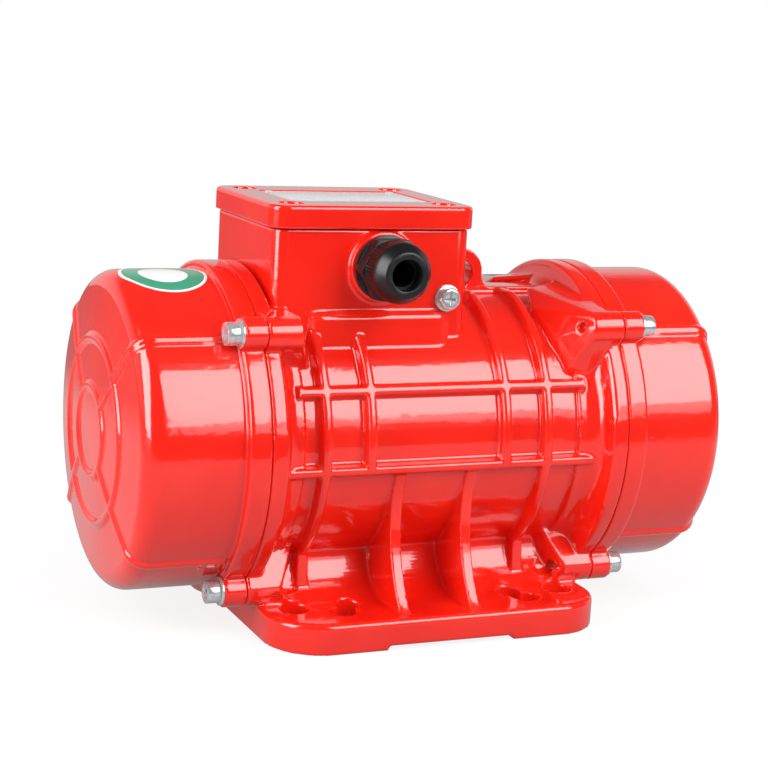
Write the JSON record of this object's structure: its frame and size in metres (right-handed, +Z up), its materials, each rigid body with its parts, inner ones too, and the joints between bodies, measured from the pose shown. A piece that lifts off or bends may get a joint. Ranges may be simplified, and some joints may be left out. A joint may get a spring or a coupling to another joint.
{
  "type": "vibration motor",
  "caption": "Electric vibration motor: ribbed cast housing on feet with a terminal box, end covers over a shaft with fixed and adjustable eccentric weights.",
  "frame": {"origin": "centre of the foot bolt pattern on the underside of the feet", "axes": "+X along the shaft, +Z up from the mounting face, cable gland on the -Y side, terminal box towards -X"},
  "size_m": [0.291, 0.162, 0.1892],
  "materials": {
    "red_paint": "gloss",
    "cast_aluminium": "cast",
    "rotor_aluminium": "cast",
    "zinc_steel": "zinc plated",
    "machined_steel": "machined",
    "bearing_steel": "ground",
    "brass": "machined",
    "lamination_steel": "varnished",
    "copper": "enamelled copper",
    "rubber": "matte",
    "black_nylon": "satin",
    "block_plastic": "moulded",
    "plate_aluminium": "satin"
  },
  "bodies": {
    "frame": {"housing": "red_paint", "flange_left": "red_paint", "flange_right": "red_paint", "lifting_eye": "red_paint", "terminal_box": "red_paint", "terminal_box_posts": "red_paint", "terminal_box_lid": "red_paint", "cover_left": "red_paint", "cover_right": "red_paint", "bearing_shield_left": "cast_aluminium", "bearing_shield_right": "cast_aluminium", "bearing_cap_left": "cast_aluminium", "bearing_cap_right": "cast_aluminium", "cover_bolts": "zinc_steel", "cover_washers": "zinc_steel", "lid_screws": "zinc_steel", "earth_screw": "zinc_steel", "earth_washer": "zinc_steel", "shield_screws": "zinc_steel", "bearing_cap_screws": "zinc_steel", "bearing_outer_race_left": "bearing_steel", "bearing_outer_race_right": "bearing_steel", "terminal_studs": "brass", "terminal_nuts": "brass", "stator_core": "lamination_steel", "stator_winding": "copper", "cover_seal_left": "rubber", "cover_seal_right": "rubber", "lid_gasket": "rubber", "gland_seal": "rubber", "gland_washer": "rubber", "gland_body": "black_nylon", "gland_cap_nut": "black_nylon", "gland_lock_nut": "black_nylon", "terminal_block": "block_plastic", "nameplate": "plate_aluminium", "nameplate_rivets": "plate_aluminium"},
    "rotor": {"shaft": "machined_steel", "rotor_core": "lamination_steel", "rotor_cage": "rotor_aluminium", "bearing_inner_race_left": "bearing_steel", "bearing_inner_race_right": "bearing_steel", "fixed_weight_left": "machined_steel", "fixed_weight_right": "machined_steel", "weight_key_left": "machined_steel", "weight_key_right": "machined_steel", "retaining_ring_left": "machined_steel", "retaining_ring_right": "machined_steel"},
    "left_rollers": {"bearing_rollers_left": "bearing_steel", "bearing_cage_left": "brass"},
    "right_rollers": {"bearing_rollers_right": "bearing_steel", "bearing_cage_right": "brass"},
    "left_setting_weight": {"adjustable_weight_left": "machined_steel", "weight_clamp_screw_left": "zinc_steel"},
    "right_setting_weight": {"adjustable_weight_right": "machined_steel", "weight_clamp_screw_right": "zinc_steel"}
  },
  "joints": [
    {"name": "shaft_spin", "type": "hinge", "parent": "frame", "child": "rotor", "pos_m": [0, 0, 0.0845], "axis": [1, 0, 0], "continuous": true},
    {"name": "left_rollers_orbit", "type": "hinge", "parent": "frame", "child": "left_rollers", "pos_m": [0, 0, 0.0845], "axis": [1, 0, 0], "continuous": true},
    {"name": "right_rollers_orbit", "type": "hinge", "parent": "frame", "child": "right_rollers", "pos_m": [0, 0, 0.0845], "axis": [1, 0, 0], "continuous": true},
    {"name": "left_weight_setting", "type": "hinge", "parent": "rotor", "child": "left_setting_weight", "pos_m": [0, 0, 0.0845], "axis": [1, 0, 0], "range_deg": [0, 180]},
    {"name": "right_weight_setting", "type": "hinge", "parent": "rotor", "child": "right_setting_weight", "pos_m": [0, 0, 0.0845], "axis": [1, 0, 0], "range_deg": [0, 180]}
  ],
  "couplings": [
    {"joint": "left_rollers_orbit", "follows": "shaft_spin", "ratio": 0.4156},
    {"joint": "right_rollers_orbit", "follows": "shaft_spin", "ratio": 0.4156}
  ]
}
